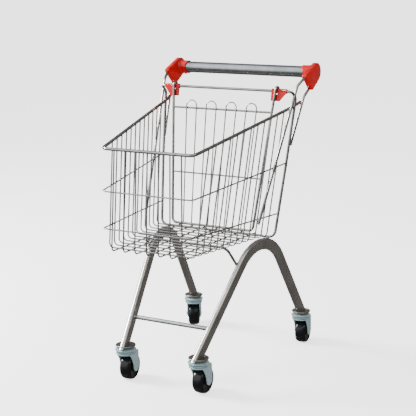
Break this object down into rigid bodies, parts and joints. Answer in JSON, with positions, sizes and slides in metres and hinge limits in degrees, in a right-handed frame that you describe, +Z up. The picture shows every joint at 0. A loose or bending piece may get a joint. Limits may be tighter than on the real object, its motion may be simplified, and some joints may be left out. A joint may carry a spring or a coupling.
{
  "type": "shopping cart",
  "caption": "Small wire-basket shopping cart with a tubular handle, a hinged rear gate, bent tube legs and swivel casters.",
  "frame": {"origin": "on the floor, below the middle of the cart's bounding box", "axes": "+X to the cart's right as seen from the front, +Y from the front to the handle, +Z up"},
  "size_m": [0.31, 0.4428, 0.5739],
  "materials": {
    "plated_wire": "bright zinc-plated steel wire",
    "satin_tube": "satin-ground tube",
    "leg_tube": "plated oval tube, half gloss",
    "zinc_steel": "blue-passivated zinc on pressed steel",
    "ball_steel": "ground steel",
    "red_plastic": "glossy moulded plastic",
    "black_plastic": "moulded plastic",
    "wheel_rubber": "glossy hard moulded wheel"
  },
  "bodies": {
    "cart_frame": {"basket_rim": "plated_wire", "mid_belt": "plated_wire", "low_belt": "plated_wire", "side_wires_left": "plated_wire", "side_wires_right": "plated_wire", "front_wires": "plated_wire", "floor_long_wires": "plated_wire", "floor_cross_wires": "plated_wire", "rear_frame": "plated_wire", "front_strut_left": "plated_wire", "front_strut_right": "plated_wire", "rear_strut_left": "plated_wire", "rear_strut_right": "plated_wire", "handle_tube": "satin_tube", "handle_bracket_left": "red_plastic", "handle_bracket_right": "red_plastic", "bracket_screws": "zinc_steel", "leg_left": "leg_tube", "leg_right": "leg_tube", "front_crossbar": "leg_tube", "support_rod": "plated_wire", "leg_plugs": "black_plastic", "bumper_dishes": "zinc_steel", "swivel_pins": "zinc_steel", "stem_nuts": "zinc_steel", "upper_races": "zinc_steel", "bearing_balls": "ball_steel", "hinge_clip_left": "red_plastic", "hinge_clip_right": "red_plastic"},
    "gate": {"gate_frame": "plated_wire", "gate_top_rail": "plated_wire", "gate_mid_rail": "plated_wire", "gate_wires": "plated_wire"},
    "caster_front_left": {"fork_front_left": "zinc_steel", "lower_race_front_left": "zinc_steel", "axle_front_left": "zinc_steel", "axle_nut_front_left": "zinc_steel"},
    "wheel_front_left": {"wheel_front_left": "wheel_rubber", "wheel_bush_front_left": "ball_steel"},
    "caster_front_right": {"fork_front_right": "zinc_steel", "lower_race_front_right": "zinc_steel", "axle_front_right": "zinc_steel", "axle_nut_front_right": "zinc_steel"},
    "wheel_front_right": {"wheel_front_right": "wheel_rubber", "wheel_bush_front_right": "ball_steel"},
    "caster_rear_left": {"fork_rear_left": "zinc_steel", "lower_race_rear_left": "zinc_steel", "axle_rear_left": "zinc_steel", "axle_nut_rear_left": "zinc_steel"},
    "wheel_rear_left": {"wheel_rear_left": "wheel_rubber", "wheel_bush_rear_left": "ball_steel"},
    "caster_rear_right": {"fork_rear_right": "zinc_steel", "lower_race_rear_right": "zinc_steel", "axle_rear_right": "zinc_steel", "axle_nut_rear_right": "zinc_steel"},
    "wheel_rear_right": {"wheel_rear_right": "wheel_rubber", "wheel_bush_rear_right": "ball_steel"}
  },
  "joints": [
    {"name": "gate_hinge", "type": "hinge", "parent": "cart_frame", "child": "gate", "pos_m": [0, 0.0801, 0.5255], "axis": [-1, 0, 0], "range_deg": [0, 80]},
    {"name": "swivel_front_left", "type": "hinge", "parent": "cart_frame", "child": "caster_front_left", "pos_m": [-0.0765, -0.1694, 0.058], "axis": [0, 0, 1], "continuous": true},
    {"name": "spin_front_left", "type": "hinge", "parent": "caster_front_left", "child": "wheel_front_left", "pos_m": [-0.07839, -0.15281, 0.025], "axis": [0.9936, 0.1132, 0], "continuous": true},
    {"name": "swivel_front_right", "type": "hinge", "parent": "cart_frame", "child": "caster_front_right", "pos_m": [0.0765, -0.1694, 0.058], "axis": [0, 0, 1], "continuous": true},
    {"name": "spin_front_right", "type": "hinge", "parent": "caster_front_right", "child": "wheel_front_right", "pos_m": [0.07621, -0.1527, 0.025], "axis": [0.9998, 0.0175, 0], "continuous": true},
    {"name": "swivel_rear_left", "type": "hinge", "parent": "cart_frame", "child": "caster_rear_left", "pos_m": [-0.1245, 0.1796, 0.058], "axis": [0, 0, 1], "continuous": true},
    {"name": "spin_rear_left", "type": "hinge", "parent": "caster_rear_left", "child": "wheel_rear_left", "pos_m": [-0.13116, 0.19492, 0.025], "axis": [0.9171, 0.3987, 0], "continuous": true},
    {"name": "swivel_rear_right", "type": "hinge", "parent": "cart_frame", "child": "caster_rear_right", "pos_m": [0.1245, 0.1796, 0.058], "axis": [0, 0, 1], "continuous": true},
    {"name": "spin_rear_right", "type": "hinge", "parent": "caster_rear_right", "child": "wheel_rear_right", "pos_m": [0.12261, 0.19619, 0.025], "axis": [0.9936, 0.1132, 0], "continuous": true}
  ]
}
